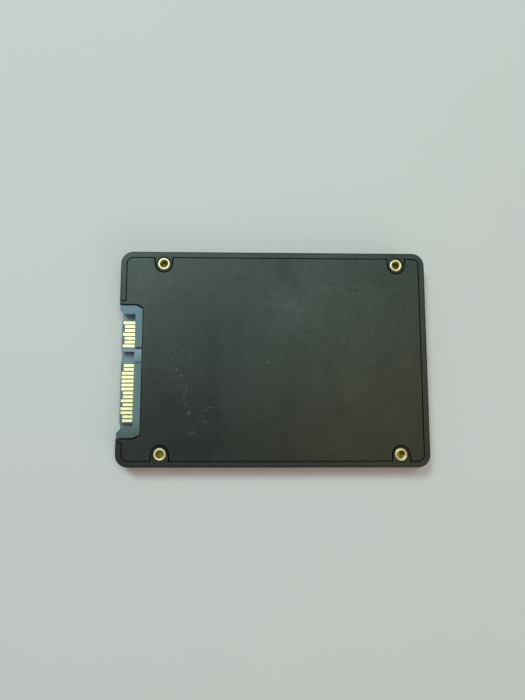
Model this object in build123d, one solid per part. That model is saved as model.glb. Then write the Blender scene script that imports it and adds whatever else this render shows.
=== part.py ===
from build123d import *

import os
from math import cos, pi, sin

# A 2.5-inch, 7 mm solid state drive with a serial ATA plug, lying on its label face.
#
# Millimetres. The origin is the centre of the label face, +X runs from the plug end to the far end, and +Z
# points out of the mounting face, which carries the four threaded inserts. Every physical piece is a node.

# The case: a tray with a flat floor, and a cover plate let into its open side.
LENGTH, WIDTH, HEIGHT = 100.0, 69.85, 7.0
CORNER_R = 4.0
FLOOR_T = 1.05
RIM_W = 1.85
RIM_EDGE_R = 0.45
FLOOR_EDGE_R = 0.8
SEAM = 0.2
BOSS_SEAM = 0.3
COVER_T = 1.0
COVER_DROP = 0.05
COVER_EDGE = 0.12
COVER_CORNER_R = 0.35

FRONT = -LENGTH / 2
REAR = LENGTH / 2
SIDE = WIDTH / 2
COVER_TOP = HEIGHT - COVER_DROP
COVER_BOTTOM = COVER_TOP - COVER_T
WALL_X = REAR - RIM_W
WALL_Y = SIDE - RIM_W
BITE = 0.5  # how far a cutter or a rib runs past the face it starts from

# Mounting threads, as the 2.5-inch form factor places them.
HOLE_FROM_FRONT = 14.0
HOLE_PITCH_X = 76.6
HOLE_PITCH_Y = 61.72
SIDE_HOLE_DROP = 3.0
THREAD_R = 1.25  # the minor radius of M3
HOLES_X = (FRONT + HOLE_FROM_FRONT, FRONT + HOLE_FROM_FRONT + HOLE_PITCH_X)
HOLE_Y = HOLE_PITCH_Y / 2
SIDE_HOLE_Z = HEIGHT - SIDE_HOLE_DROP

# Knurled brass inserts, long ones in the corner bosses and short ones in the side walls.
INSERT_FLANGE_R, INSERT_FLANGE_T = 2.05, 0.5
KNURL_R, KNURL_ROOT_R = 1.9, 1.72
KNURL_TEETH = 20
KNURL_RELIEF = 0.4
INSERT_MOUTH = 0.12
INSERT_EDGE = 0.16
INSERT_LONG, INSERT_SHORT = 4.0, 1.75
INSERT_END_T = 0.6  # the closed end of a long insert
INSERT_FIT = 0.01
BOSS_R, BOSS_FLARE = 2.6, 2.85
INSERT_RING_CHAMFER = 0.3

# The plug's housing. Its tongues carry the contacts on the side that faces the mounting face.
PLUG_Y = -4.43
PLUG_W = 42.73
TONGUES_W = 33.39
SIGNAL_W, POWER_W = 10.3, 20.6
ARM_W = 2.9
PLUG_TOP = 6.6
PLUG_FACE_X = FRONT + 0.1
TONGUE_X = FRONT + 0.55
SPINE_FRONT_X = FRONT + 5.1
SPINE_REAR_X = FRONT + 7.45
SPINE_CORNER = (2.0, 1.15)
TONGUE_TOP, TONGUE_T = 4.8, 1.2
TONGUE_LEAD = 0.25
KEY_W, KEY_H = 1.1, 2.25
SHELF_TOP, SHELF_X = 2.4, FRONT + 0.5
PLUG_LEAD_IN = 1.3
PLUG_GAP = 0.15
PLUG_EDGE = 0.12
SLOT_W = 0.78
DEEP_SLOT, SHALLOW_SLOT = 1.5, 0.5
PLUG_LO, PLUG_HI = PLUG_Y - PLUG_W / 2, PLUG_Y + PLUG_W / 2
SIGNAL_HI = PLUG_Y + TONGUES_W / 2
SIGNAL_LO = SIGNAL_HI - SIGNAL_W
POWER_LO = PLUG_Y - TONGUES_W / 2
POWER_HI = POWER_LO + POWER_W
DEEP_SLOT_Y, SHALLOW_SLOT_Y = SIGNAL_LO + 0.93, POWER_HI - 1.37
COVER_PLUG_GAP = 0.28
COVER_TAB_W = 1.5

# Contacts: the ones that mate first reach nearest to the tongue's tip.
PITCH = 1.27
SIGNAL_COUNT, POWER_COUNT = 7, 15
CONTACT_W, CONTACT_T, CONTACT_PROUD = 0.84, 0.15, 0.04
CONTACT_TAIL_W = 0.6
CONTACT_NOSE, CONTACT_BEND = 0.09, 0.1
END_MARGIN = 0.81
SHORT_START, LONG_START, FIRST_START = 0.85, 0.32, 0.24
SIGNAL_LONG = (1, 4, 7)
POWER_FIRST = (4, 12)
POWER_LONG = (3, 5, 6, 7, 10, 13)
TAIL_BEND_X, TAIL_END_X = SPINE_REAR_X + 0.3, SPINE_REAR_X + 1.7
LOCK_Y = 1.6  # how far in from the housing's ends the board locks are

# The circuit board lies between the tray's posts and the plug.
BOARD_T = 1.0
BOARD_TOP = TONGUE_TOP - TONGUE_T
BOARD_BOTTOM = BOARD_TOP - BOARD_T
BOARD_FRONT, BOARD_REAR = FRONT + 6.3, 8.0
BOARD_W = 54.0
BOARD_CORNER_R = 1.0
SCREW_POINTS = ((4.5, 23.4), (4.5, -23.4))
PEG_POINTS = ((-37.5, 22.5), (-22.0, -24.6))
POST_R, PEG_R, PILOT_R = 2.1, 0.95, 0.8
PEG_FIT, PEG_TOP = 0.1, 4.3
SCREW_SHANK_R, SCREW_HEAD_R, SCREW_HEAD_H = 0.9, 1.75, 0.9
SCREW_LENGTH = 2.2
SCREW_CROWN_R = 0.35
DRIVE_W, DRIVE_DEPTH = 0.42, 0.55

# Snap hooks hang from the cover and catch pockets in the tray's wall.
HOOK_SPOTS_X = (-19.0, 2.0, 23.0)
HOOK_SPOTS_Y = (-14.0, 14.0)
HOOK_W, HOOK_T, HOOK_CLEAR = 5.0, 0.9, 0.15
HOOK_TIP, HOOK_BARB, HOOK_BARB_H, HOOK_LIP = 3.0, 0.5, 0.9, 0.2
POCKET_CLEAR, POCKET_DEPTH = 0.3, 0.6

# Ribs inside the tray carry the cover and stiffen the empty half.
REST_SPOTS_X = (-29.0, -8.5, 12.5, 32.0)
REST_SPOTS_Y = (-24.0, 0.0, 24.0)
REST_W, REST_DEPTH = 3.0, 0.8
CRUSH_RIB_Y = (-17.0, 0.0, 17.0)
CRUSH_RIB_X = (14.0, 45.0)
CRUSH_RIB_T = 1.0

# The label lies in a shallow recess in the floor's outer face.
LABEL_L, LABEL_W, LABEL_R = 92.0, 62.0, 2.0
LABEL_RECESS, LABEL_T, LABEL_CLEAR = 0.14, 0.1, 0.2


def slab(sketch, low, high):
    """The sketch as a prism between two heights."""
    return Pos(0, 0, low) * extrude(sketch, high - low)


def block(x0, x1, y0, y1, z0, z1):
    """A box between two corners."""
    return Pos((x0 + x1) / 2, (y0 + y1) / 2, (z0 + z1) / 2) * Box(x1 - x0, y1 - y0, z1 - z0)


def flat_polygon(points):
    """A face in the XY plane through these points, in order."""
    return make_face(Polyline(*points, close=True))


def upright(points, width, y):
    """An outline in X and Z, made `width` thick about the plane at `y`."""
    face = make_face(Polyline(*[(px, 0, pz) for px, pz in points], close=True))
    return Pos(0, y, 0) * extrude(face, width / 2, dir=(0, 1, 0), both=True)


def boss_outline(x, side, grow):
    """A corner boss in plan: round about its insert, widening to where it joins the rim on that side."""
    r, flare = BOSS_R + grow, BOSS_FLARE + grow
    wall = side * (WALL_Y + RIM_W / 2)
    foot = side * HOLE_Y
    web = flat_polygon([(x - r, foot), (x + r, foot), (x + flare, wall), (x - flare, wall)])
    return Pos(x, foot) * Circle(r) + web


def bosses_outline(grow):
    """All four bosses in plan."""
    outline = Sketch()
    for x in HOLES_X:
        for side in (-1, 1):
            outline += boss_outline(x, side, grow)
    return outline


def plug_outline(grow):
    """The plug housing's outer edge in plan, open towards the front of the case."""
    low, high, back = PLUG_LO - grow, PLUG_HI + grow, SPINE_REAR_X + grow
    run, rise = SPINE_CORNER
    return [
        (FRONT - BITE, low),
        (back - run, low),
        (back, low + rise),
        (back, high - rise),
        (back - run, high),
        (FRONT - BITE, high),
    ]


def insert(length, end):
    """A knurled brass insert, mouth at the origin and body below. `end` is how thick its closed end is."""
    star = []
    for i in range(2 * KNURL_TEETH):
        angle, radius = pi * i / KNURL_TEETH, KNURL_R if i % 2 else KNURL_ROOT_R
        star.append((radius * cos(angle), radius * sin(angle)))
    flange = slab(Circle(INSERT_FLANGE_R), -INSERT_FLANGE_T, 0)
    flange = chamfer(flange.edges().group_by(Axis.Z)[-1], INSERT_EDGE)
    body = flange + slab(Circle(KNURL_ROOT_R), -length, -INSERT_FLANGE_T)
    knurl = flat_polygon(star)
    if length > 3 * KNURL_RELIEF + INSERT_FLANGE_T:
        middle = -(INSERT_FLANGE_T + length) / 2
        half = KNURL_RELIEF / 2
        bands = ((-length + KNURL_RELIEF, middle - half), (middle + half, -INSERT_FLANGE_T))
    else:
        bands = ((-length + KNURL_RELIEF / 2, -INSERT_FLANGE_T),)
    for low, high in bands:
        body += slab(knurl, low, high)
    mouth = Pos(0, 0, -INSERT_MOUTH / 2) * Cone(THREAD_R, THREAD_R + INSERT_MOUTH, INSERT_MOUTH)
    bottom = end - length if end else -length - BITE
    return body - slab(Circle(THREAD_R), bottom, BITE) - mouth


def insert_socket(length):
    """What the tray loses for an insert, with its mouth at the origin."""
    cut = slab(Circle(INSERT_FLANGE_R + INSERT_FIT), -INSERT_FLANGE_T, BITE)
    cut += slab(Circle(KNURL_R + INSERT_FIT), -length, 0)
    ring = INSERT_FLANGE_R + INSERT_FIT
    chamfer_cut = Cone(ring, ring + INSERT_RING_CHAMFER, INSERT_RING_CHAMFER)
    return cut + Pos(0, 0, -INSERT_RING_CHAMFER / 2) * chamfer_cut


def mounting_place(x, side):
    """Where a base insert's mouth is."""
    return Pos(x, side * HOLE_Y, HEIGHT)


def side_place(x, side):
    """Where a side insert's mouth is, looking out of that side."""
    return Pos(x, side * SIDE, SIDE_HOLE_Z) * Rot(-side * 90, 0, 0)


def wall_places(spots_x, spots_y):
    """Places along the two side walls and the far wall: locations whose +X points out through the wall."""
    places = [Pos(x, side * WALL_Y, 0) * Rot(0, 0, side * 90) for x in spots_x for side in (-1, 1)]
    return places + [Pos(WALL_X, y, 0) for y in spots_y]


def tray_shell():
    """The tray's floor, walls and corner bosses."""
    shell = slab(RectangleRounded(LENGTH, WIDTH, CORNER_R), 0, HEIGHT)
    shell = fillet(shell.edges().group_by(Axis.Z)[0], FLOOR_EDGE_R)
    shell = fillet(shell.edges().group_by(Axis.Z)[-1], RIM_EDGE_R)
    cavity = RectangleRounded(2 * WALL_X, 2 * WALL_Y, CORNER_R - RIM_W) - bosses_outline(0)
    return shell - slab(cavity, FLOOR_T, HEIGHT + BITE)


def case_tray():
    """The tray, with rests and pockets for the cover, posts for the board, and room for plug and inserts."""
    tray = tray_shell()
    opening = (PLUG_LO - PLUG_GAP, PLUG_HI + PLUG_GAP)
    wall = (FRONT - BITE, FRONT + RIM_W)
    tray -= block(*wall, *opening, FLOOR_T, HEIGHT + BITE)
    tabs = (opening[0] - COVER_TAB_W, opening[1] + COVER_TAB_W)
    tray -= block(*wall, tabs[0], tabs[1], COVER_BOTTOM, HEIGHT + BITE)
    for place in wall_places(REST_SPOTS_X, REST_SPOTS_Y):
        tray += place * block(-REST_DEPTH, RIM_W / 2, -REST_W / 2, REST_W / 2, FLOOR_T - BITE, COVER_BOTTOM)
    for y in CRUSH_RIB_Y:
        half = CRUSH_RIB_T / 2
        tray += block(*CRUSH_RIB_X, y - half, y + half, FLOOR_T - BITE, COVER_BOTTOM)
    pocket_y = HOOK_W / 2 + POCKET_CLEAR
    pocket_z = (HOOK_TIP - POCKET_CLEAR, HOOK_TIP + HOOK_BARB_H + POCKET_CLEAR / 2)
    for place in wall_places(HOOK_SPOTS_X, HOOK_SPOTS_Y):
        tray -= place * block(-REST_DEPTH, POCKET_DEPTH, -pocket_y, pocket_y, *pocket_z)
    for x, y in SCREW_POINTS:
        tray += Pos(x, y) * slab(Circle(POST_R), FLOOR_T - BITE, BOARD_BOTTOM)
        tray -= Pos(x, y) * slab(Circle(PILOT_R), FLOOR_T, BOARD_BOTTOM + BITE)
    for x, y in PEG_POINTS:
        tray += Pos(x, y) * slab(Circle(POST_R), FLOOR_T - BITE, BOARD_BOTTOM)
        tray += Pos(x, y) * slab(Circle(PEG_R), BOARD_BOTTOM - BITE, PEG_TOP)
    for x in HOLES_X:
        for side in (-1, 1):
            tray -= mounting_place(x, side) * insert_socket(INSERT_LONG)
            tray -= side_place(x, side) * insert_socket(INSERT_SHORT)
    return tray - slab(RectangleRounded(LABEL_L, LABEL_W, LABEL_R), -BITE, LABEL_RECESS)


def cover_outline():
    """The cover plate in plan: let in between the bosses, with a tab to the front each side of the plug."""
    inset = 2 * SEAM
    plate = RectangleRounded(2 * WALL_X - inset, 2 * WALL_Y - inset, CORNER_R - RIM_W - SEAM)
    plate -= bosses_outline(BOSS_SEAM)
    low = PLUG_LO - PLUG_GAP - COVER_TAB_W + SEAM
    high = PLUG_HI + PLUG_GAP + COVER_TAB_W - SEAM
    edge = FRONT + COVER_DROP
    plate += flat_polygon([(edge, low), (SPINE_REAR_X, low), (SPINE_REAR_X, high), (edge, high)])
    plate -= flat_polygon(plug_outline(COVER_PLUG_GAP))
    lip = WALL_Y - SEAM
    corners = [v for v in plate.vertices() if abs(abs(v.Y) - lip) < 0.01 and near_boss(v.X)]
    return fillet(corners, COVER_CORNER_R)


def near_boss(x):
    """Whether x is on the edge of a boss's notch, and not on the plate's own corners."""
    return any(abs(x - hole) < BOSS_FLARE + 2 * BOSS_SEAM for hole in HOLES_X)


def snap_hook():
    """One hook: an arm down from the cover and a barb that points out at the wall."""
    arm = block(-HOOK_CLEAR - HOOK_T, -HOOK_CLEAR, -HOOK_W / 2, HOOK_W / 2, HOOK_TIP, COVER_BOTTOM + BITE)
    root = -HOOK_CLEAR - HOOK_T / 2
    tip = HOOK_BARB - HOOK_CLEAR
    barb = [
        (root, HOOK_TIP),
        (-HOOK_CLEAR, HOOK_TIP),
        (tip, HOOK_TIP + HOOK_BARB_H - HOOK_LIP),
        (tip, HOOK_TIP + HOOK_BARB_H),
        (root, HOOK_TIP + HOOK_BARB_H),
    ]
    return arm + upright(barb, HOOK_W, 0)


def base_cover():
    """The cover plate with its snap hooks."""
    cover = slab(cover_outline(), COVER_BOTTOM, COVER_TOP)
    cover = chamfer(cover.edges().group_by(Axis.Z)[-1], COVER_EDGE)
    for place in wall_places(HOOK_SPOTS_X, HOOK_SPOTS_Y):
        cover += place * snap_hook()
    return cover


def plug_arms_and_spine():
    """The housing's outer frame: two arms out to the front face, and the spine behind the tongues."""
    frame = slab(flat_polygon(plug_outline(0)), FLOOR_T, PLUG_TOP)
    frame -= block(FRONT - 2 * BITE, PLUG_FACE_X, PLUG_LO - BITE, PLUG_HI + BITE, 0, HEIGHT)
    low, high = PLUG_LO + ARM_W, PLUG_HI - ARM_W
    mouth = [
        (PLUG_FACE_X - BITE, low - PLUG_LEAD_IN - BITE),
        (PLUG_FACE_X + PLUG_LEAD_IN, low),
        (SPINE_FRONT_X, low),
        (SPINE_FRONT_X, high),
        (PLUG_FACE_X + PLUG_LEAD_IN, high),
        (PLUG_FACE_X - BITE, high + PLUG_LEAD_IN + BITE),
    ]
    frame -= slab(flat_polygon(mouth), 0, HEIGHT)
    frame = chamfer(frame.edges().group_by(Axis.Z)[-1], PLUG_EDGE)
    shelf = block(SHELF_X, SPINE_FRONT_X + BITE, low - BITE, high + BITE, FLOOR_T, SHELF_TOP)
    return frame + shelf


def tongue(low, high, key_low):
    """One L-shaped tongue between two Y values, with its key leg starting at key_low."""
    tip, root, lead = TONGUE_X, SPINE_FRONT_X + BITE, TONGUE_LEAD
    side = [
        (root, TONGUE_TOP),
        (tip + 2 * lead, TONGUE_TOP),
        (tip, TONGUE_TOP - lead),
        (tip, BOARD_TOP + lead),
        (tip + lead, BOARD_TOP),
        (root, BOARD_TOP),
    ]
    blade = upright(side, high - low, (low + high) / 2)
    leg_z = (TONGUE_TOP - KEY_H, TONGUE_TOP - TONGUE_T / 2)
    leg = block(tip + 2 * lead, root, key_low, key_low + KEY_W, *leg_z)
    return blade + leg


def contact_start(number, longest, long):
    """How far behind the tongue's tip a contact starts."""
    if number in longest:
        return FIRST_START
    return LONG_START if number in long else SHORT_START


def contact(y, start):
    """One contact: a flat blade in the tongue's face, a tail through the spine, and a foot on the board."""
    top, x0 = TONGUE_TOP + CONTACT_PROUD, TONGUE_X + start
    under = top - CONTACT_T
    nose, bend = CONTACT_NOSE, CONTACT_BEND
    blade = [(x0, under), (x0, top - nose), (x0 + nose, top), (SPINE_FRONT_X, top), (SPINE_FRONT_X, under)]
    inner, foot = TAIL_BEND_X - CONTACT_T, BOARD_TOP + CONTACT_T
    tail = [
        (SPINE_FRONT_X - BITE, top),
        (TAIL_BEND_X - bend, top),
        (TAIL_BEND_X, top - bend),
        (TAIL_BEND_X, foot),
        (TAIL_END_X, foot),
        (TAIL_END_X, BOARD_TOP),
        (inner + bend, BOARD_TOP),
        (inner, BOARD_TOP + bend),
        (inner, under),
        (SPINE_FRONT_X - BITE, under),
    ]
    return upright(blade, CONTACT_W, y) + upright(tail, CONTACT_TAIL_W, y)


def contacts():
    """Every contact by name. Signal contacts count down from the housing's end, and power contacts go on."""
    made = {}
    for n in range(1, SIGNAL_COUNT + 1):
        y = SIGNAL_HI - END_MARGIN - (n - 1) * PITCH
        made[f"signal_contact_{n}"] = contact(y, contact_start(n, (), SIGNAL_LONG))
    for n in range(1, POWER_COUNT + 1):
        y = POWER_LO + END_MARGIN + (POWER_COUNT - n) * PITCH
        made[f"power_contact_{n:02d}"] = contact(y, contact_start(n, POWER_FIRST, POWER_LONG))
    return made


def board_lock(y):
    """A sheet-metal tab held in the housing, with its foot soldered to the board."""
    sheet, width, top = 0.3, 2.0, 5.6
    x0, x1 = SPINE_REAR_X - 1.0, SPINE_REAR_X + 1.6
    side = [
        (x0, BOARD_TOP),
        (x1, BOARD_TOP),
        (x1, BOARD_TOP + sheet),
        (x0 + sheet, BOARD_TOP + sheet),
        (x0 + sheet, top),
        (x0, top),
    ]
    return upright(side, width, y)


def plug_housing(pieces_in_it):
    """The moulded housing, cut to fit the metal pieces it holds and the board's front edge."""
    housing = plug_arms_and_spine()
    housing += tongue(SIGNAL_LO, SIGNAL_HI, SIGNAL_LO)
    housing += tongue(POWER_LO, POWER_HI, POWER_HI - KEY_W)
    behind = SPINE_REAR_X + BITE
    for middle, depth in ((DEEP_SLOT_Y, DEEP_SLOT), (SHALLOW_SLOT_Y, SHALLOW_SLOT)):
        edges = (middle - SLOT_W / 2, middle + SLOT_W / 2)
        housing -= block(SPINE_FRONT_X, behind, *edges, PLUG_TOP - depth, HEIGHT)
    housing -= block(BOARD_FRONT, behind, PLUG_LO - BITE, PLUG_HI + BITE, 0, BOARD_TOP)
    for piece in pieces_in_it:
        housing -= piece
    return housing


def circuit_board():
    """The board, drilled for the locating pegs and the screws."""
    middle = (BOARD_FRONT + BOARD_REAR) / 2
    outline = Pos(middle, 0) * RectangleRounded(BOARD_REAR - BOARD_FRONT, BOARD_W, BOARD_CORNER_R)
    for x, y in PEG_POINTS:
        outline -= Pos(x, y) * Circle(PEG_R + PEG_FIT)
    for x, y in SCREW_POINTS:
        outline -= Pos(x, y) * Circle(SCREW_SHANK_R + PEG_FIT)
    return slab(outline, BOARD_BOTTOM, BOARD_TOP)


def board_screw(x, y):
    """A pan-head self-tapping screw with a cross recess, holding the board to a post."""
    head = slab(Circle(SCREW_HEAD_R), BOARD_TOP, BOARD_TOP + SCREW_HEAD_H)
    head = fillet(head.edges().group_by(Axis.Z)[-1], SCREW_CROWN_R)
    top = BOARD_TOP + SCREW_HEAD_H
    for angle in (0, 90):
        slot = Rot(0, 0, angle) * Box(1.2 * SCREW_HEAD_R, DRIVE_W, 2 * DRIVE_DEPTH)
        head -= Pos(0, 0, top) * slot
    shank = slab(Circle(PILOT_R), BOARD_TOP - SCREW_LENGTH, BOARD_TOP)
    neck = slab(Circle(SCREW_SHANK_R), BOARD_BOTTOM, BOARD_TOP)
    return Pos(x, y) * (head + shank + neck)


def array_package(length, width, height, on_top=True):
    """A ball-grid package: a substrate, a slightly smaller moulded cap, and a dimple at its first corner."""
    substrate_t, step, edge = 0.3, 0.15, 0.1
    dimple_r, dimple_depth, dimple_in = 0.4, 0.05, 1.2
    body = slab(RectangleRounded(length, width, step), 0, substrate_t)
    cap = slab(RectangleRounded(length - 2 * step, width - 2 * step, 2 * step), substrate_t, height)
    cap = chamfer(cap.edges().group_by(Axis.Z)[-1], edge)
    cap -= Pos(dimple_in - length / 2, width / 2 - dimple_in, height) * Cylinder(dimple_r, 2 * dimple_depth)
    body += cap
    if on_top:
        return Pos(0, 0, BOARD_TOP) * body
    return Pos(0, 0, BOARD_BOTTOM) * Rot(180, 0, 0) * body


def leaded_package():
    """An eight-lead small-outline memory, with bent leads down to the board."""
    length, width, height, stand_off, edge = 4.9, 3.9, 1.35, 0.12, 0.15
    lead_w, lead_t, lead_count = 0.4, 0.2, 8
    body = slab(Rectangle(length, width), stand_off, height)
    body = chamfer(body.edges().group_by(Axis.Z)[-1], edge)
    middle, held = (stand_off + height) / 2, width / 2 - 0.4
    out, foot = width / 2 + 0.35, width / 2 + 1.0
    side = [
        (held, middle),
        (out, middle),
        (out, lead_t),
        (foot, lead_t),
        (foot, 0),
        (out - lead_t, 0),
        (out - lead_t, middle - lead_t),
        (held, middle - lead_t),
    ]
    for i in range(lead_count // 2):
        x = (i - (lead_count // 2 - 1) / 2) * PITCH
        for turn in (90, -90):
            body += Pos(x, 0) * Rot(0, 0, turn) * upright(side, lead_w, 0)
    return Pos(0, 0, BOARD_TOP) * body


def flat_package(side, height):
    """A leadless square package whose rim of lands shows as a thin plinth."""
    plinth, step = 0.2, 0.05
    body = slab(Rectangle(side, side), 0, plinth)
    body += slab(Rectangle(side - 2 * step, side - 2 * step), plinth, height)
    return Pos(0, 0, BOARD_TOP) * body


def metal_can(length, width, height):
    """A crystal: a ceramic tray with a seam-welded metal lid."""
    lid_z, step, corner = 0.6 * height, 0.2, 0.2
    body = slab(RectangleRounded(length, width, corner), 0, lid_z)
    lid = slab(RectangleRounded(length - 2 * step, width - 2 * step, corner), lid_z, height)
    return Pos(0, 0, BOARD_TOP) * (body + lid)


def inductor():
    """A moulded power inductor with its two terminals."""
    side, height, stand_off, corner, edge = 4.0, 1.9, 0.1, 0.5, 0.15
    terminal_l, terminal_w, terminal_h, proud = 0.8, 1.4, 0.4, 0.1
    core = slab(Rectangle(side, side), stand_off, height)
    core = chamfer(core.edges().filter_by(Axis.Z), corner)
    core = chamfer(core.edges().group_by(Axis.Z)[-1], edge)
    for end in (-1, 1):
        x = end * (side / 2 + proud - terminal_l / 2)
        core += slab(Pos(x, 0) * Rectangle(terminal_l, terminal_w), 0, terminal_h)
    return Pos(0, 0, BOARD_TOP) * core


def chip(length, width, height):
    """A two-terminal chip, a little fuller at its soldered ends."""
    end, shy = length * 0.25, 0.03
    body = slab(Rectangle(length, width - 2 * shy), shy, height - shy)
    for side in (-1, 1):
        x = side * (length - end) / 2
        body += slab(Pos(x, 0) * Rectangle(end, width), 0, height)
    return Pos(0, 0, BOARD_TOP) * body


def chips(size, places):
    """A group of identical chips, each a solid of its own. A place is x, y and a turn in degrees."""
    return Compound(children=[Pos(x, y) * Rot(0, 0, turn) * chip(*size) for x, y, turn in places])


def row(x0, y0, step_x, step_y, count, turn):
    """Places for `count` chips in a row."""
    return [(x0 + i * step_x, y0 + i * step_y, turn) for i in range(count)]


def board_parts():
    """Everything soldered to the board apart from the plug."""
    made = {
        "controller": Pos(-21.5, 2.0) * array_package(12.0, 12.0, 1.2),
        "flash_memory_1": Pos(-3.5, 12.0) * array_package(12.0, 18.0, 1.2),
        "flash_memory_2": Pos(-3.5, -12.0) * array_package(12.0, 18.0, 1.2),
        "flash_memory_3": Pos(-3.5, 12.0) * array_package(12.0, 18.0, 1.2, on_top=False),
        "flash_memory_4": Pos(-3.5, -12.0) * array_package(12.0, 18.0, 1.2, on_top=False),
        "firmware_memory": Pos(-30.0, 19.5) * Rot(0, 0, 90) * leaded_package(),
        "power_controller": Pos(-31.0, -15.5) * flat_package(5.0, 0.85),
        "clock_crystal": Pos(-22.5, 13.0) * metal_can(3.2, 2.5, 0.8),
        "power_inductor_1": Pos(-31.5, -22.0) * inductor(),
        "power_inductor_2": Pos(-25.0, -16.5) * inductor(),
        "power_inductor_3": Pos(-31.5, -9.0) * inductor(),
    }
    bulk = row(-37.0, -23.0, 0, 4.2, 4, 90)
    made["bulk_capacitors"] = chips((3.5, 2.8, 1.8), bulk)
    small = row(-29.5, -3.0, 0, 1.6, 7, 0) + row(-13.5, -4.5, 0, 1.6, 9, 0)
    small += row(-26.5, -6.5, 1.6, 0, 7, 90) + row(-26.5, 9.8, 1.6, 0, 5, 90)
    small += row(-9.0, 0.0, 2.2, 0, 6, 90)
    made["ceramic_capacitors"] = chips((1.0, 0.5, 0.5), small)
    resistors = row(-38.5, 2.6, 0, 1.27, 7, 0) + row(-33.5, -3.0, 0, 1.6, 8, 0)
    resistors += row(-24.0, 17.0, 1.4, 0, 5, 90)
    made["resistors"] = chips((1.0, 0.5, 0.35), resistors)
    return made


def label():
    """The sticker in the recess of the label face."""
    length, width = LABEL_L - 2 * LABEL_CLEAR, LABEL_W - 2 * LABEL_CLEAR
    sheet = RectangleRounded(length, width, LABEL_R - LABEL_CLEAR)
    return slab(sheet, LABEL_RECESS - LABEL_T, LABEL_RECESS)


def inserts():
    """The base and side inserts by name."""
    made = {}
    for end, x in zip(("front", "rear"), HOLES_X):
        for hand, side in (("right", -1), ("left", 1)):
            made[f"base_insert_{end}_{hand}"] = mounting_place(x, side) * insert(INSERT_LONG, INSERT_END_T)
            made[f"side_insert_{end}_{hand}"] = side_place(x, side) * insert(INSERT_SHORT, 0)
    return made


def drive():
    """Every node of the drive, as name and shape."""
    nodes = {"case_tray": case_tray(), "base_cover": base_cover(), "label": label()}
    nodes.update(inserts())
    locks = {
        "board_lock_left": board_lock(PLUG_HI - LOCK_Y),
        "board_lock_right": board_lock(PLUG_LO + LOCK_Y),
    }
    pins = contacts()
    nodes["plug_housing"] = plug_housing([*pins.values(), *locks.values()])
    nodes.update(locks)
    nodes.update(pins)
    nodes["circuit_board"] = circuit_board()
    for name, (x, y) in zip(("board_screw_left", "board_screw_right"), SCREW_POINTS):
        nodes[name] = board_screw(x, y)
    nodes.update(board_parts())
    return nodes


os.makedirs("parts", exist_ok=True)
for name, shape in drive().items():
    export_step(shape, f"parts/{name}.step")
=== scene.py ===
# The look of a 2.5-inch solid state drive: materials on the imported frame, and brass inserts with threads.
# Metres, in the frame's own axes: +X away from the plug, +Z out of the mounting face, z = 0 where it lies.

from math import cos, pi, radians, sin

import bpy
from mathutils import Matrix, Vector


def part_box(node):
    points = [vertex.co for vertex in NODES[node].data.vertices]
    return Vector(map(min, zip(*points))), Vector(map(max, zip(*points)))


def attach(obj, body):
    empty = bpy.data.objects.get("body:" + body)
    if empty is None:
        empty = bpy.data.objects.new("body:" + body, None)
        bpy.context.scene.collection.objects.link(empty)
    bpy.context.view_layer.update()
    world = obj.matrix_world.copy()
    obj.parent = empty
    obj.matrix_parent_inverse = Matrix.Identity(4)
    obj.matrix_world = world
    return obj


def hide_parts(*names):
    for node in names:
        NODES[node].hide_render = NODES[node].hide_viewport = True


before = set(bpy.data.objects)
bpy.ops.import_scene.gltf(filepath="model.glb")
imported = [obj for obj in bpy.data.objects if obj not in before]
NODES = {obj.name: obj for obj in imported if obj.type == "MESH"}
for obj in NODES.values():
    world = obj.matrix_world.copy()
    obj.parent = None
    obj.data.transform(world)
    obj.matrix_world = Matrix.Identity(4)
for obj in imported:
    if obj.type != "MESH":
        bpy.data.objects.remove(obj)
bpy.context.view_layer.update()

MM = 0.001
SPOT_CORE = 0.35  # the share of a spot's radius within which it is at full strength


# --- building materials -------------------------------------------------------------------------------

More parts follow.
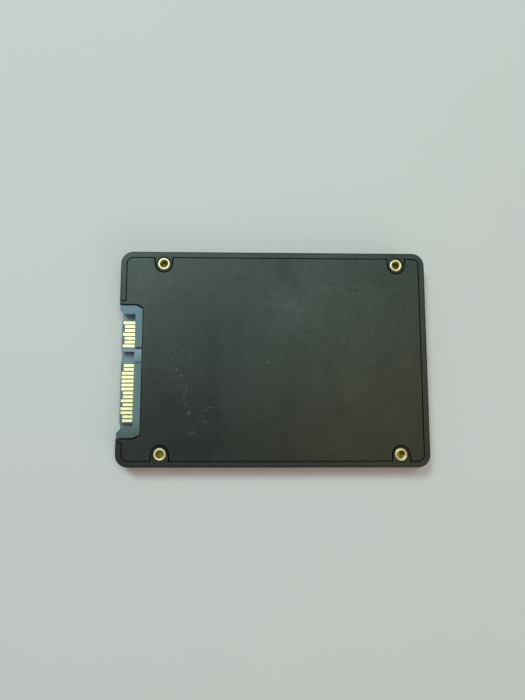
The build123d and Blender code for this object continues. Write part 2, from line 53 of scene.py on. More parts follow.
class Material:
    """A node material under construction. Its textures read object coordinates, in metres."""

    def __init__(self, name, **sockets):
        self.material = bpy.data.materials.new(name)
        self.material.use_nodes = True
        self.tree = self.material.node_tree
        self.shader = self.tree.nodes["Principled BSDF"]
        self.place = self.add("ShaderNodeTexCoord").outputs["Object"]
        self.set(**sockets)

    def add(self, kind, **inputs):
        """A node with its inputs linked or set. Underscores in a name stand for spaces."""
        node = self.tree.nodes.new(kind)
        for name, value in inputs.items():
            self.feed(node.inputs[name.replace("_", " ")], value)
        return node

    def feed(self, socket, value):
        """Links a value that comes from another node, and sets a plain one."""
        if isinstance(value, bpy.types.NodeSocket):
            self.tree.links.new(value, socket)
        elif isinstance(value, tuple) and len(value) == 3 and len(socket.default_value) == 4:
            socket.default_value = (*value, 1.0)
        else:
            socket.default_value = value

    def set(self, **sockets):
        """Sets or links the shader's own sockets."""
        for name, value in sockets.items():
            self.feed(self.shader.inputs[name.replace("_", " ")], value)

    def noise(self, grain, detail=3.0, rough=0.55, at=None, stretch=None):
        """Noise from 0 to 1 whose blobs are about `grain` metres across."""
        where = at or self.place
        if stretch:
            where = self.add("ShaderNodeMapping", Vector=where, Scale=stretch).outputs["Vector"]
        node = self.add("ShaderNodeTexNoise", Vector=where, Scale=1 / grain, Detail=detail, Roughness=rough)
        return node.outputs["Fac"]

    def math(self, operation, *values):
        """The result of a math node."""
        node = self.add("ShaderNodeMath")
        node.operation = operation
        for socket, value in zip(node.inputs, values):
            self.feed(socket, value)
        return node.outputs[0]

    def band(self, value, low, high, smooth=True):
        """0 below `low`, 1 above `high`. With low above high it falls instead."""
        node = self.add("ShaderNodeMapRange", Value=value)
        if smooth:
            node.interpolation_type = "SMOOTHSTEP"
        rising = low < high
        ends = (low, high) if rising else (high, low)
        node.inputs["From Min"].default_value, node.inputs["From Max"].default_value = ends
        node.inputs["To Min"].default_value = 0.0 if rising else 1.0
        node.inputs["To Max"].default_value = 1.0 if rising else 0.0
        return node.outputs["Result"]

    def between(self, value, low, high):
        """`value`, from 0 to 1, carried to the range from `low` to `high`."""
        node = self.add("ShaderNodeMapRange", Value=value)
        node.inputs["To Min"].default_value, node.inputs["To Max"].default_value = low, high
        return node.outputs["Result"]

    def mix(self, factor, first, second):
        """Colour `first` where the factor is 0 and `second` where it is 1."""
        node = self.tree.nodes.new("ShaderNodeMix")
        node.data_type = "RGBA"
        for index, value in ((0, factor), (6, first), (7, second)):
            self.feed(node.inputs[index], value)
        return node.outputs[2]

    def scaled(self, value, factor, base):
        """`value` times `factor`, plus `base`."""
        return self.math("MULTIPLY_ADD", value, factor, base)

    def swing(self, value, factor, base):
        """`base` moved by `factor` times how far `value` is above one half."""
        return self.scaled(self.math("SUBTRACT", value, 0.5), factor, base)

    def both(self, first, *others):
        """The product of some values: 1 only where all of them are."""
        found = first
        for value in others:
            found = self.math("MULTIPLY", found, value)
        return found

    def either(self, first, *others):
        """The largest of some values."""
        found = first
        for value in others:
            found = self.math("MAXIMUM", found, value)
        return found

    def axes(self):
        """The X, Y and Z of the place."""
        return self.add("ShaderNodeSeparateXYZ", Vector=self.place).outputs

    def spots(self, cell, radius):
        """Round spots of about `radius` metres, one to a cell of `cell` metres."""
        node = self.add("ShaderNodeTexVoronoi", Vector=self.place, Scale=1 / cell)
        return self.band(node.outputs["Distance"], radius / cell, SPOT_CORE * radius / cell)

    def specks(self, cell, radius):
        """Spots in X and Y alone, of every strength from 0 to 1."""
        node = self.add("ShaderNodeTexVoronoi", Vector=self.place, Scale=1 / cell)
        node.voronoi_dimensions = "2D"
        spot = self.band(node.outputs["Distance"], radius / cell, SPOT_CORE * radius / cell)
        strength = self.add("ShaderNodeSeparateColor", Color=node.outputs["Color"]).outputs[0]
        return self.math("MULTIPLY", spot, self.band(strength, 0.25, 1.0, smooth=False))

    def bump(self, height, depth, strength=1.0):
        """A normal from a height of 0 to 1 that stands for `depth` metres."""
        node = self.add("ShaderNodeBump", Height=height, Distance=depth, Strength=strength)
        return node.outputs["Normal"]


def nodes_with(part):
    """The CAD nodes whose names have this part in them."""
    return sorted(node for node in NODES if part in node)


def paint(material, *names):
    """Gives these CAD nodes or pieces the material."""
    for name in names:
        slots = bpy.data.objects[name].data.materials
        slots.clear()
        slots.append(material)


# --- the case -----------------------------------------------------------------------------------------

SPARK_GRAIN, MOTTLE_GRAIN, BLOTCH_GRAIN, CLOUD_GRAIN = 0.2 * MM, 0.75 * MM, 2.4 * MM, 14 * MM
SPARK_DEPTH = 0.012 * MM
CASE_BLACK = (0.0042, 0.0040, 0.0032)
CASE_RUBBED = (0.0092, 0.0090, 0.0076)
CASE_OLIVE = (0.0040, 0.0050, 0.0012)
CASE_ROUGHNESS, CASE_SHINE = (0.37, 0.45), 0.482
BOSS_SHADE_R = 3.0  # millimetres, as in the tables below
DUST_GREY = (0.155, 0.156, 0.155)
SPECK_STRENGTH, CROWD_STRENGTH, LOOSE_STRENGTH = 0.44, 0.36, 0.15
CROWD_SPECKS, LOOSE_SPECKS = (0.9 * MM, 0.3 * MM), (4.0 * MM, 0.2 * MM)
OVAL_EDGE, OVAL_CORE = 1.35, 0.45
MARK_BLUR = 5 * MM
MARK_ROUGHNESS, MARK_SHINE = 0.014, -0.045

# Handling marks and painted shade on the sheen: X, Y, half-widths along X and Y in millimetres, how much
# duller.
MARKS = (
    (-19.5, -4.0, 3.2, 22.0, 0.9), (-24.0, 4.0, 7.0, 15.0, 0.6), (-27.0, -20.5, 12.0, 12.5, 1.8),
    (-17.2, -22.0, 1.8, 7.0, 0.9), (-42.5, 22.0, 3.5, 8.0, -0.8), (3.0, 29.5, 2.2, 5.0, 1.3),
    (6.4, 24.5, 1.8, 4.0, 1.0), (9.2, 20.0, 1.5, 3.5, 0.6), (-9.5, 26.3, 5.0, 0.9, 0.9),
    (-3.0, 21.0, 3.0, 1.5, 0.6), (-1.0, 15.0, 3.0, 1.4, 0.7), (6.3, 7.3, 1.6, 0.9, 0.7),
    (26.5, 22.5, 2.0, 1.2, 1.2), (36.0, 24.3, 2.6, 1.2, 0.8), (32.0, 27.0, 8.0, 4.0, 0.5),
    (27.0, 15.0, 2.6, 3.0, 0.6), (24.2, 5.5, 0.8, 5.0, 0.8), (8.0, 3.0, 3.5, 2.5, 0.5),
    (35.5, 0.5, 2.8, 3.0, 0.6), (4.5, -15.5, 2.6, 4.5, 0.9), (22.0, -16.0, 3.0, 2.2, 0.7),
    (18.0, -3.0, 3.0, 2.5, 0.4), (2.0, -26.0, 1.6, 2.6, 0.6), (37.0, -9.0, 4.5, 6.0, 0.4),
    (-4.0, -20.8, 6.0, 1.0, 0.6), (34.0, -27.0, 4.0, 4.0, 0.6), (-11.0, -25.0, 5.0, 5.0, 0.4),
    (-3.5, -7.0, 7.0, 11.0, -0.7), (6.5, 17.0, 5.0, 2.6, -0.6), (0.0, 7.0, 5.0, 3.0, -0.5),
    (13.5, -7.0, 3.0, 4.5, -0.5), (26.0, -10.0, 4.5, 6.0, -0.7), (17.0, -27.5, 8.0, 4.0, -0.9),
    (8.5, -22.0, 3.5, 3.5, -0.6), (-42.5, 6.0, 3.0, 9.0, -1.0), (-28.0, -29.5, 17.0, 3.5, 1.3),
    (-37.0, -8.0, 5.0, 6.0, 0.9), (-42.0, -19.5, 4.0, 5.0, 1.0), (-34.0, -16.0, 3.0, 5.0, 0.5),
    (-19.4, -20.5, 1.7, 3.6, -1.2), (5.0, 15.0, 10.0, 8.0, -0.6), (-13.0, 10.0, 4.0, 10.0, 0.5),
)

# Single specks of dust, as X, Y and radius in millimetres, and patches of fine ones, as ovals.
SPECKS = (
    (-32.7, -0.3, 0.34), (-31.2, -4.1, 0.47), (-29.7, -5.9, 0.34), (-28.0, -9.8, 0.34),
    (-28.5, -11.4, 0.31), (-27.7, -14.8, 0.34), (-26.9, -17.9, 0.49), (-21.5, -16.9, 0.36),
    (-20.1, -16.0, 0.31), (-21.6, -20.6, 0.42), (-25.3, -23.8, 0.36), (-26.9, -24.1, 0.29),
    (-29.2, 1.8, 0.26), (-26.8, 0.1, 0.26), (-1.5, -1.7, 0.34), (-12.6, 20.5, 0.21), (41.0, 22.7, 0.31),
    (32.4, 8.7, 0.20),
)
DUST_PATCHES = (
    (-29.6, 0.8, 4.2, 2.6), (-28.6, -10.4, 2.6, 2.8), (-28.2, -14.6, 1.4, 2.6), (-20.6, -17.0, 2.8, 2.8),
    (-22.8, -19.6, 2.4, 2.0), (-25.8, -23.2, 2.8, 2.2), (41.0, 23.4, 1.2, 2.0),
)


def oval(m, at, x, y, half_x, half_y):
    """1 in the middle of a soft-edged oval, 0 well outside it. Everything in millimetres but `at`."""
    scale = (1 / (half_x * MM), 1 / (half_y * MM), 0.0)
    place = m.add("ShaderNodeMapping", Vector=at, Location=(-x / half_x, -y / half_y, 0.0), Scale=scale)
    reach = m.add("ShaderNodeVectorMath", Vector=place.outputs["Vector"])
    reach.operation = "LENGTH"
    return m.band(reach.outputs["Value"], OVAL_EDGE, OVAL_CORE)


def blurred_place(m):
    """The place, moved about at random, so that what is drawn there has a ragged edge."""
    swirl = m.add("ShaderNodeTexNoise", Vector=m.place, Scale=1 / MARK_BLUR, Detail=5.0, Roughness=0.65)
    centred = m.add("ShaderNodeVectorMath", Vector=swirl.outputs["Color"])
    centred.operation = "SUBTRACT"
    centred.inputs[1].default_value = (0.5, 0.5, 0.5)
    moved = m.add("ShaderNodeVectorMath", Vector=centred.outputs["Vector"])
    moved.operation = "MULTIPLY_ADD"
    moved.inputs[1].default_value = (MARK_BLUR, MARK_BLUR, 0.0)
    m.feed(moved.inputs[2], m.place)
    return moved.outputs["Vector"]


def marks_and_painted_shade(m):
    """Above 0 where handling or painted shade leaves the plastic duller, and below 0 where it is shinier or
    painted brighter.
    """
    at = blurred_place(m)
    found = 0.0
    for x, y, half_x, half_y, amount in MARKS:
        found = m.scaled(oval(m, at, x, y, half_x, half_y), amount, found)
    return found


def dust(m):
    """The strength of the dust: 0 on clean plastic, more on the single specks and on the scattered ones."""
    specks = m.either(*[oval(m, m.place, x, y, radius, radius) for x, y, radius in SPECKS])
    patches = m.either(*[oval(m, m.place, *area) for area in DUST_PATCHES])
    crowd = m.both(m.specks(*CROWD_SPECKS), patches, CROWD_STRENGTH)
    loose = m.both(m.specks(*LOOSE_SPECKS), LOOSE_STRENGTH)
    return m.either(m.both(specks, SPECK_STRENGTH), crowd, loose)


def painted_boss_shade(m):
    """1 close round the base inserts, where the plastic is duller and gets a painted olive shade, 0
    elsewhere.
    """
    rings = []
    for node in nodes_with("base_insert"):
        low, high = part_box(node)
        middle = (low + high) / 2 / MM
        rings.append(oval(m, m.place, middle.x, middle.y, BOSS_SHADE_R, BOSS_SHADE_R))
    return m.either(*rings)


def black_plastic(name, cover):
    """Black moulded plastic with a spark-eroded grain. Cover: handling marks, painted shade on the sheen
    and dust. Tray: painted shade round the inserts.
    """
    m = Material(name)
    grain = m.noise(SPARK_GRAIN, detail=3, rough=0.6)
    mottle = m.band(m.noise(MOTTLE_GRAIN, detail=2, rough=0.6), 0.3, 0.7, smooth=False)
    blotch = m.noise(BLOTCH_GRAIN, detail=4, rough=0.8)
    clouds = m.noise(CLOUD_GRAIN, detail=5, rough=0.6)
    colour = m.mix(m.scaled(mottle, 0.45, m.both(clouds, 0.55)), CASE_BLACK, CASE_RUBBED)
    roughness = m.swing(clouds, -0.12, m.between(grain, *CASE_ROUGHNESS))
    roughness = m.swing(mottle, -0.05, roughness)
    shine = m.swing(blotch, 0.24, CASE_SHINE)
    shine = m.swing(mottle, 0.038, shine)
    if cover:
        # Handling marks, and painted shade and light on the cover's sheen.
        marks = marks_and_painted_shade(m)
        specks = dust(m)
        colour = m.mix(specks, colour, DUST_GREY)
        roughness = m.scaled(specks, 0.3, m.scaled(marks, MARK_ROUGHNESS, roughness))
        shine = m.scaled(marks, MARK_SHINE, shine)
    else:
        # Painted shade round the base inserts: a darker olive colour, and rougher plastic.
        near = painted_boss_shade(m)
        colour = m.mix(near, colour, CASE_OLIVE)
        roughness = m.scaled(near, 0.12, roughness)
    normal = m.bump(grain, SPARK_DEPTH, strength=0.5)
    m.set(Base_Color=colour, Roughness=roughness, Specular_IOR_Level=shine, Normal=normal)
    return m.material


def label_film():
    """A blank sticker: satin silver film with a faint lengthwise grain and a few rubs."""
    m = Material("label_film")
    grain = m.noise(0.6 * MM, detail=4, stretch=(0.08, 1.0, 1.0))
    rubs = m.band(m.noise(12 * MM, detail=6, rough=0.7), 0.45, 0.7)
    shade = m.scaled(grain, 0.4, m.both(rubs, 0.4))
    m.set(
        Base_Color=m.mix(shade, (0.62, 0.63, 0.65), (0.5, 0.51, 0.53)),
        Metallic=m.between(rubs, 0.35, 0.2),
        Roughness=m.between(grain, 0.32, 0.5),
        Normal=m.bump(grain, 0.004 * MM),
    )
    return m.material


# --- the plug -----------------------------------------------------------------------------------------

PLUG_LOW, PLUG_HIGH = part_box("plug_housing")
TIN = (0.62, 0.62, 0.6)
SPINE_FRONT_X = PLUG_LOW.x + 5 * MM
SPINE_BACK_X = PLUG_LOW.x + 7.34 * MM

# The nylon's darker and paler shade in each place. The housing is taken to be all one colour: the places
# stand in for how light falls on it in the photo.
PLUG_TONES = {
    "middle": ((0.125, 0.178, 0.222), (0.17, 0.23, 0.28)),
    "signal_end": ((0.135, 0.2, 0.285), (0.18, 0.255, 0.355)),
    "power_end": ((0.06, 0.088, 0.1), (0.09, 0.123, 0.14)),
    "pale": ((0.25, 0.32, 0.4), (0.32, 0.39, 0.48)),
    "shelf": ((0.18, 0.245, 0.32), (0.225, 0.3, 0.39)),
    "shelf_signal_end": ((0.27, 0.42, 0.56), (0.33, 0.49, 0.65)),
    "spine_back": ((0.5, 0.58, 0.58), (0.6, 0.68, 0.68)),
}


def along_plug(m, none, full):
    """0 at `none` millimetres from the housing's signal end, along Y, and 1 at `full`."""
    _, y, _ = m.axes()
    return m.band(y, PLUG_HIGH.y - none * MM, PLUG_HIGH.y - full * MM)


def painted_highlight_places(m):
    """Where painted highlights go: 1 on the spine between its slots and on the signal tongue's inner edge,
    less on the power one's.
    """
    x, _, _ = m.axes()
    blur = 0.1 * MM
    on_spine = m.band(x, SPINE_FRONT_X - blur, SPINE_FRONT_X + blur)
    before_spine = m.band(x, SPINE_FRONT_X + blur, SPINE_FRONT_X - blur)
    past_slot = along_plug(m, 13.9, 14.1)
    bridge = m.both(along_plug(m, 19, 14.8), past_slot, on_spine)
    signal_edge = m.both(along_plug(m, 15.2, 14.9), past_slot)
    power_edge = m.both(along_plug(m, 16.9, 17.1), along_plug(m, 18.8, 18.6), before_spine, 0.5)
    return m.either(bridge, signal_edge, power_edge)


def shelf_place(m):
    """1 on the shelf under the tongues, between the arms, where painted light lightens the shade."""
    _, y, z = m.axes()
    off_low_arm = m.band(y, PLUG_LOW.y + 2.4 * MM, PLUG_LOW.y + 3.4 * MM)
    off_high_arm = along_plug(m, 2.2, 2.6)
    return m.both(m.band(z, 3.2 * MM, 2.6 * MM), off_low_arm, off_high_arm)


def plug_nylon():
    """Blue-grey glass-filled nylon with painted light and shade: bluer at the signal end, darker at the
    other, paler places.
    """
    m = Material("plug_nylon")
    x, y, _ = m.axes()
    flow = m.noise(2.4 * MM, detail=4, stretch=(1.0, 0.3, 1.0))
    fibre = m.noise(0.12 * MM, detail=3, stretch=(1.0, 0.4, 1.0))
    shade = m.scaled(m.band(flow, 0.3, 0.7), 0.6, m.both(fibre, 0.4))
    tones = {name: m.mix(shade, *pair) for name, pair in PLUG_TONES.items()}
    # Painted light and shade: the ends' tones, the paler places, the shelf and the spine's back wall follow
    # how light falls, not the nylon.
    shelf_painted_light = m.mix(along_plug(m, 12, 5), tones["shelf"], tones["shelf_signal_end"])
    colour = m.mix(along_plug(m, 9, 1), tones["middle"], tones["signal_end"])
    colour = m.mix(m.band(y, PLUG_LOW.y + 7 * MM, PLUG_LOW.y), colour, tones["power_end"])
    colour = m.mix(painted_highlight_places(m), colour, tones["pale"])
    colour = m.mix(shelf_place(m), colour, shelf_painted_light)
    colour = m.mix(m.band(x, SPINE_BACK_X - 0.03 * MM, SPINE_BACK_X), colour, tones["spine_back"])
    m.set(
        Base_Color=colour,
        Roughness=m.between(fibre, 0.38, 0.55),
        Normal=m.bump(fibre, 0.006 * MM),
        Subsurface_Weight=0.35,
        Subsurface_Radius=(1.0, 1.2, 1.4),
        Subsurface_Scale=0.8 * MM,
    )
    return m.material


def contact_gold():
    """Gold plating rubbed by being plugged in, with painted light that makes it paler at the power end, and
    tin behind the blade.
    """
    m = Material("contact_gold")
    x, y, _ = m.axes()
    tinned = m.band(x, SPINE_FRONT_X, SPINE_FRONT_X + 0.3 * MM)
    wiped = m.noise(0.09 * MM, detail=3, stretch=(0.05, 1.0, 1.0))
    blotch = m.noise(0.8 * MM, detail=3)
    worn = m.band(blotch, 0.3, 0.75)
    signal_gold = m.mix(worn, (1.0, 0.86, 0.45), (0.95, 0.78, 0.37))
    # The power end's paler gold is painted light, not another plating.
    power_gold = m.mix(worn, (0.89, 0.83, 0.48), (0.84, 0.75, 0.39))
    gold = m.mix(m.band(y, PLUG_HIGH.y - 18 * MM, PLUG_LOW.y + 8 * MM), signal_gold, power_gold)
    m.set(
        Base_Color=m.mix(tinned, gold, TIN),
        Metallic=1.0,
        Roughness=m.scaled(tinned, 0.2, m.between(wiped, 0.26, 0.36)),
        Normal=m.bump(wiped, 0.0015 * MM),
    )
    return m.material


def tinned_sheet():
    """Tinned steel sheet, a little mottled."""
    m = Material("tinned_sheet", Metallic=1.0)
    mottle = m.noise(0.3 * MM, detail=4)
    m.set(
        Base_Color=m.mix(mottle, (0.6, 0.6, 0.6), (0.74, 0.74, 0.72)),
        Roughness=m.between(mottle, 0.3, 0.5),
        Normal=m.bump(mottle, 0.003 * MM),
    )
    return m.material


# --- threaded inserts ---------------------------------------------------------------------------------

THREAD_PITCH, THREAD_DEPTH = 0.5 * MM, 0.27 * MM  # as M3 x 0.5
FLANK_START, FLANK_SLOPE = 1.15, 1.3
STEPS_PER_PITCH = 8
BORE_R, MOUTH, END_T = 1.25 * MM, 0.12 * MM, 0.6 * MM
CROWN, CROWN_STEPS = 0.05 * MM, 8
FLANGE_R, FLANGE_T, FLANGE_BEVEL = 2.05 * MM, 0.5 * MM, 0.16 * MM
KNURL_R, KNURL_DEPTH, KNURL_GROOVE = 1.9 * MM, 0.18 * MM, 0.4 * MM
KNURL_TEETH, STEPS_PER_TOOTH = 20, 4
EDGE = 0.08 * MM
SHARP_ANGLE = radians(35)


def plain(radius):
    """One radius all the way round."""
    return lambda turn: radius


def knurled(turn):
    """The knurl's radius at a turn from 0 to 1: straight teeth."""
    tooth = turn * KNURL_TEETH % 1.0
    return KNURL_R - KNURL_DEPTH * abs(2 * tooth - 1)


def threaded(z, bottom):
    """The bore's radius round a turn, at height z: a thread that fades out at both ends."""
    fade = min(1.0, (-z - MOUTH) / (THREAD_PITCH / 2), (z - bottom) / THREAD_PITCH)

    def radius(turn):
        phase = (z / THREAD_PITCH + turn) % 1.0
        flank = min(1.0, max(0.0, FLANK_START - FLANK_SLOPE * abs(2 * phase - 1)))
        return BORE_R + THREAD_DEPTH * max(0.0, fade) * flank

    return radius


def bore_rows(bottom):
    """The threaded bore, from its bottom up to the mouth."""
    rise = -MOUTH - bottom
    count = round(rise / THREAD_PITCH * STEPS_PER_PITCH)
    heights = [bottom + rise * i / count for i in range(count + 1)]
    return [(z, threaded(z, bottom)) for z in heights]


def face_rows():
    """The slightly crowned face, from the mouth out to the flange's bevel."""
    inner, outer = BORE_R + MOUTH, FLANGE_R - FLANGE_BEVEL
    rows = []
    for i in range(CROWN_STEPS + 1):
        across = i / CROWN_STEPS
        rows.append((-CROWN * (2 * across - 1) ** 2, plain(inner + across * (outer - inner))))
    return rows


def outside_rows(length):
    """The flange, then two knurls with a groove between them, or one on a short insert, to the far end."""
    root = plain(KNURL_R - KNURL_DEPTH)
    rows = [(-CROWN - FLANGE_BEVEL, plain(FLANGE_R)), (-FLANGE_T, plain(FLANGE_R)), (-FLANGE_T, root)]
    first = -FLANGE_T - EDGE
    if length < 2 * KNURL_R:
        knurls = [(first, -length + KNURL_GROOVE / 2)]
    else:
        middle = -(FLANGE_T + length) / 2
        second = middle - KNURL_GROOVE / 2
        knurls = [(first, middle + KNURL_GROOVE / 2), (second, -length + KNURL_GROOVE)]
    for top, low in knurls:
        rows += [(top, root), (top - EDGE, knurled), (low + EDGE, knurled), (low, root)]
    rows.append((-length, plain(KNURL_R - KNURL_DEPTH - EDGE)))
    return rows


def insert_rows(length, blind):
    """The insert's section as rows of height and radius: up the bore, over the face, down the outside."""
    bottom = END_T - length if blind else EDGE - length
    rows = bore_rows(bottom) + face_rows() + outside_rows(length)
    if not blind:
        rows.append((-length, plain(BORE_R + EDGE)))
    return rows


def turned(rows, capped):
    """Points and faces of the rows swept round Z: closed end to end, or each end capped."""
    steps = KNURL_TEETH * STEPS_PER_TOOTH
    points, faces = [], []
    for z, radius in rows:
        for i in range(steps):
            turn = i / steps
            r = radius(turn)
            points.append((r * cos(2 * pi * turn), r * sin(2 * pi * turn), z))
    last = len(rows) - 1
    for j in range(last if capped else len(rows)):
        here, after = j * steps, (j + 1) % len(rows) * steps
        for i in range(steps):
            across = (i + 1) % steps
            faces.append((here + across, after + across, after + i, here + i))
    caps = (0, last) if capped else ()
    for row in caps:
        centre = len(points)
        points.append((0.0, 0.0, rows[row][0]))
        for i in range(steps):
            edge = (row * steps + i, row * steps + (i + 1) % steps)
            faces.append((centre, *edge) if row == 0 else (centre, *reversed(edge)))
    return points, faces


def insert_piece(name, node, length, blind, mouth, outward):
    """One threaded insert as a closed mesh, with its mouth at a point. It stands for a CAD node."""
    points, faces = turned(insert_rows(length, blind), capped=blind)
    mesh = bpy.data.meshes.new(name)
    mesh.from_pydata(points, [], faces)
    mesh.shade_smooth()
    mesh.set_sharp_from_angle(angle=SHARP_ANGLE)
    piece = bpy.data.objects.new(name, mesh)
    bpy.context.scene.collection.objects.link(piece)
    piece.matrix_world = Matrix.Translation(mouth) @ outward.to_track_quat("Z", "X").to_matrix().to_4x4()
    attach(piece, "root")
    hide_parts(node)
    return piece


def insert_brass():
    """Turned brass: rings on its face, rougher and darker with dirt and painted shade deeper in the thread,
    a little tarnish.
    """
    m = Material("insert_brass", Metallic=1.0)
    x, y, z = m.axes()
    radius = m.math("SQRT", m.math("ADD", m.both(x, x), m.both(y, y)))
    rings = m.noise(0.035 * MM, detail=2, at=m.add("ShaderNodeCombineXYZ", X=radius, Y=z).outputs["Vector"])
    tarnish = m.band(m.noise(0.7 * MM, detail=4), 0.4, 0.7)
    # Dirt and painted shade: the bore is darker, more olive and rougher deeper in.
    deep_dirt_and_shade = m.band(z, -0.25 * MM, -0.9 * MM)
    face = m.mix(tarnish, (0.78, 0.66, 0.44), (0.67, 0.55, 0.325))
    bore = (0.62, 0.46, 0.08)
    m.set(
        Base_Color=m.mix(deep_dirt_and_shade, face, bore),
        Roughness=m.scaled(deep_dirt_and_shade, 0.1, m.between(rings, 0.4, 0.52)),
        Normal=m.bump(rings, 0.003 * MM, strength=0.6),
    )
    return m.material


def make_inserts():
    """All eight inserts, each where its CAD node is. The base ones are blind, the side ones open."""
    brass = insert_brass()
    for node in nodes_with("_insert_"):
        low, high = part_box(node)
        middle = (low + high) / 2
        base = node.startswith("base")
        if base:
            length, outward = high.z - low.z, Vector((0, 0, 1))
            mouth = Vector((middle.x, middle.y, high.z))
        else:
            side = 1 if middle.y > 0 else -1
            length, outward = high.y - low.y, Vector((0, side, 0))
            mouth = Vector((middle.x, high.y if side > 0 else low.y, middle.z))
        piece = insert_piece("threaded_" + node, node, length, base, mouth, outward)
        paint(brass, piece.name)


# --- what is inside -----------------------------------------------------------------------------------

def board_laminate():
    """Green solder mask over copper: traces and pours show through as paler green, with tinned vias."""
    m = Material("board_laminate")
    pours = m.band(m.noise(7 * MM, detail=0), 0.47, 0.5)
    traces = m.add("ShaderNodeTexWave", Vector=m.place, Scale=160.0, Distortion=6.0, Detail=1.0)
    traces = m.band(traces.outputs["Fac"], 0.55, 0.62)
    routed = m.band(m.noise(11 * MM, detail=0), 0.45, 0.5)
    copper = m.either(pours, m.both(traces, routed))
    vias = m.spots(1.6 * MM, 0.2 * MM)
    mask = m.mix(copper, (0.006, 0.07, 0.034), (0.014, 0.15, 0.07))
    solder = (0.55, 0.5, 0.36)
    m.set(
        Base_Color=m.mix(vias, mask, solder),
        Metallic=m.both(vias, 0.9),
        Roughness=m.between(m.noise(0.4 * MM), 0.22, 0.4),
        Normal=m.bump(m.math("SUBTRACT", copper, vias), 0.03 * MM),
    )
    return m.material


def chip_compound():
    """Black moulding compound, finely matt, with the swirl that the filler leaves."""
    m = Material("chip_compound")
    grain = m.noise(0.08 * MM, detail=3)
    swirl = m.noise(2.5 * MM, detail=5)
    shade = m.scaled(grain, 0.5, m.both(swirl, 0.5))
    m.set(
        Base_Color=m.mix(shade, (0.012, 0.012, 0.013), (0.03, 0.03, 0.032)),
        Roughness=m.between(grain, 0.55, 0.75),
        Normal=m.bump(grain, 0.006 * MM),
    )
    return m.material


SPECKLE_DEPTH = 0.004 * MM


def speckled(name, dark, pale, grain, roughness, metal=0.0):
    """A fired, pressed or plated surface: two close shades in fine grains."""
    m = Material(name, Metallic=metal)
    fine = m.noise(grain * MM, detail=4)
    m.set(
        Base_Color=m.mix(m.band(fine, 0.3, 0.7), dark, pale),
        Roughness=m.between(fine, *roughness),
        Normal=m.bump(fine, SPECKLE_DEPTH),
    )
    return m.material


# Each kind of small part: its material, dark and pale shades, grain in millimetres, roughness and metal.
SMALL_PARTS = {
    "clock_crystal": ("crystal_can", (0.66, 0.64, 0.58), (0.78, 0.76, 0.7), 0.15, (0.25, 0.4), 1.0),
    "power_inductor": ("inductor_core", (0.06, 0.06, 0.065), (0.13, 0.13, 0.135), 0.1, (0.5, 0.75)),
    "ceramic_capacitors": ("capacitor_ceramic", (0.3, 0.19, 0.1), (0.42, 0.28, 0.16), 0.06, (0.4, 0.6)),
    "bulk_capacitors": ("bulk_case", (0.45, 0.32, 0.08), (0.58, 0.43, 0.13), 0.1, (0.35, 0.5)),
    "resistors": ("resistor_film", (0.02, 0.02, 0.024), (0.05, 0.05, 0.055), 0.06, (0.3, 0.5)),
    "board_screw": ("screw_steel", (0.5, 0.5, 0.5), (0.64, 0.64, 0.63), 0.08, (0.22, 0.4), 1.0),
}


def finish_inside():
    """Materials for the board and all that is on it."""
    paint(board_laminate(), "circuit_board")
    paint(chip_compound(), *nodes_with("_memory"), "controller", "power_controller")
    for part, finish in SMALL_PARTS.items():
        paint(speckled(*finish), *nodes_with(part))


# --- stage --------------------------------------------------------------------------------------------

CAMERA_PLACE = Vector((-7.28, -17.63, 175.83)) * MM
CAMERA_AIM = Vector((-3.57, 2.42, 7.0)) * MM
CAMERA_ROLL = radians(0.08)
CAMERA_LENS = 27.05
CAMERA_NEAR = 10 * MM
FLOOR_SIZE = 30.0
FLOOR_SHADES = ((0.785, 0.69, 0.725), (0.805, 0.71, 0.745))
WORLD_STRENGTH = 0.18

# Each lamp's angles in degrees from +X and from +Z, its side in metres, watts and colour.
LAMPS = {
    "key": (124, 34, 0.3, 4.1, (0.66, 1.0, 0.93)),
    "overhead": (60, 21, 0.3, 1.75, (0.66, 1.0, 0.85)),
    "fill": (-10, 19, 0.3, 0.75, (1.0, 0.77, 0.3)),
    "glint": (168, 14.3, 0.27, 0.48, (0.92, 1.0, 1.0)),
    "side": (-50, 68, 0.8, 2.0, (1.0, 0.96, 0.92)),
}


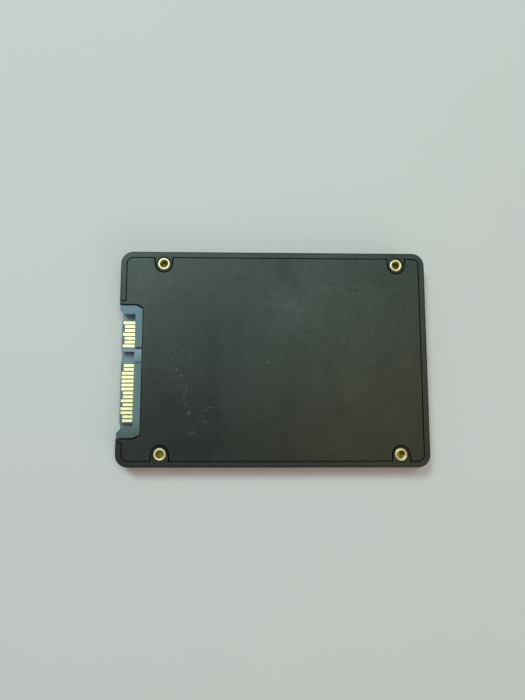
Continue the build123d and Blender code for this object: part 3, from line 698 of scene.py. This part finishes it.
def make_camera():
    """The camera looks almost straight down on the mounting face, with +Y up in its picture."""
    data = bpy.data.cameras.new("camera")
    data.lens = CAMERA_LENS
    data.clip_start = CAMERA_NEAR
    camera = bpy.data.objects.new("camera", data)
    back = (CAMERA_PLACE - CAMERA_AIM).normalized()
    right = Vector((0, 1, 0)).cross(back).normalized()
    turn = Matrix((right, back.cross(right), back)).transposed() @ Matrix.Rotation(CAMERA_ROLL, 3, "Z")
    camera.matrix_world = Matrix.Translation(CAMERA_PLACE) @ turn.to_4x4()
    bpy.context.scene.collection.objects.link(camera)
    bpy.context.scene.camera = camera


def make_floor():
    """A plain pale floor at z = 0."""
    m = Material("floor_paint")
    soft = m.noise(60 * MM, detail=3)
    m.set(Base_Color=m.mix(soft, *FLOOR_SHADES), Roughness=m.between(soft, 0.75, 0.85))
    half = FLOOR_SIZE / 2
    mesh = bpy.data.meshes.new("floor")
    corners = [(-half, -half, 0), (half, -half, 0), (half, half, 0), (-half, half, 0)]
    mesh.from_pydata(corners, [], [(0, 1, 2, 3)])
    plane = bpy.data.objects.new("floor", mesh)
    bpy.context.scene.collection.objects.link(plane)
    mesh.materials.append(m.material)


def make_lamp(name, azimuth, zenith, size, watts, colour):
    """A soft square lamp a metre from the drive and facing it."""
    turn, lean = radians(azimuth), radians(zenith)
    place = Vector((sin(lean) * cos(turn), sin(lean) * sin(turn), cos(lean)))
    data = bpy.data.lights.new(name, "AREA")
    data.size = size
    data.energy = watts
    data.color = colour
    light = bpy.data.objects.new(name, data)
    light.location = place
    light.rotation_euler = place.to_track_quat("Z", "Y").to_euler()
    bpy.context.scene.collection.objects.link(light)


def make_light():
    """Cool light from +Y and above, weaker warm and neutral light from the other sides, some all round."""
    for name, settings in LAMPS.items():
        make_lamp(name, *settings)
    world = bpy.data.worlds.new("studio")
    world.use_nodes = True
    background = world.node_tree.nodes["Background"].inputs
    background["Color"].default_value = (1.0, 1.0, 1.0, 1.0)
    background["Strength"].default_value = WORLD_STRENGTH
    bpy.context.scene.world = world
    bpy.context.scene.view_settings.view_transform = "Standard"


# --- the drive ----------------------------------------------------------------------------------------

make_camera()
paint(black_plastic("tray_surface", cover=False), "case_tray")
paint(black_plastic("cover_surface", cover=True), "base_cover")
paint(label_film(), "label")
paint(plug_nylon(), "plug_housing")
paint(contact_gold(), *nodes_with("_contact_"))
paint(tinned_sheet(), "board_lock_left", "board_lock_right")
make_inserts()
finish_inside()
make_floor()
make_light()
